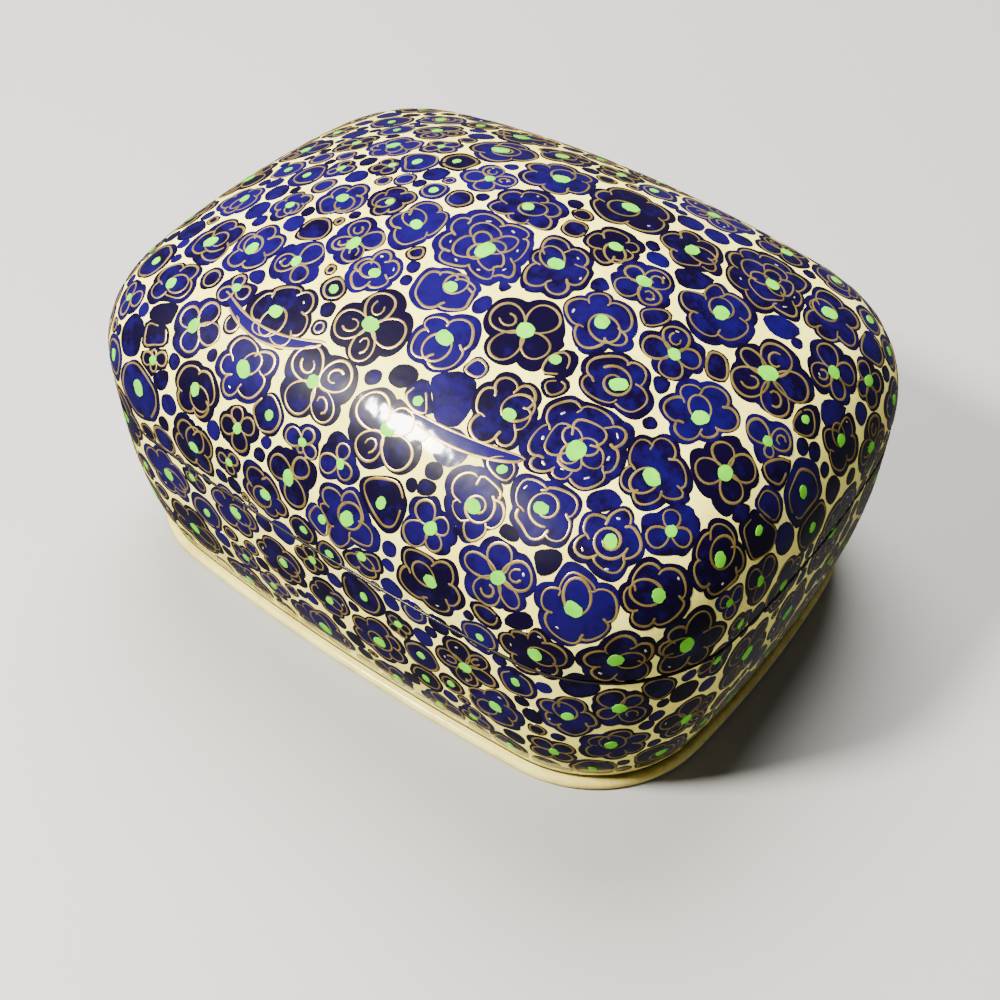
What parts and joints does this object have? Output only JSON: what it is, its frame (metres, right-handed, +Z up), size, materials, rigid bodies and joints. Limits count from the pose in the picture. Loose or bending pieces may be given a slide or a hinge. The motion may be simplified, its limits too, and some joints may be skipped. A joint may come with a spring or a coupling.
{
  "type": "papier-mache trinket box",
  "caption": "Lidded papier-mache trinket box with rounded corners, a pillow-shaped lift-off lid and a thin foot board, painted all over with small flowers.",
  "frame": {"origin": "centre of the underside, on the surface the box stands on", "axes": "+X along the long side, +Y across the box, +Z up"},
  "size_m": [0.127, 0.097, 0.0706],
  "materials": {
    "painted_lacquer": "papier-mache painted with blue flowers on cream, under clear gloss lacquer",
    "cream_lacquer": "papier-mache board painted cream, under clear gloss lacquer"
  },
  "bodies": {
    "root": {"lid": "painted_lacquer", "box_body": "painted_lacquer", "foot_board": "cream_lacquer"}
  },
  "joints": []
}
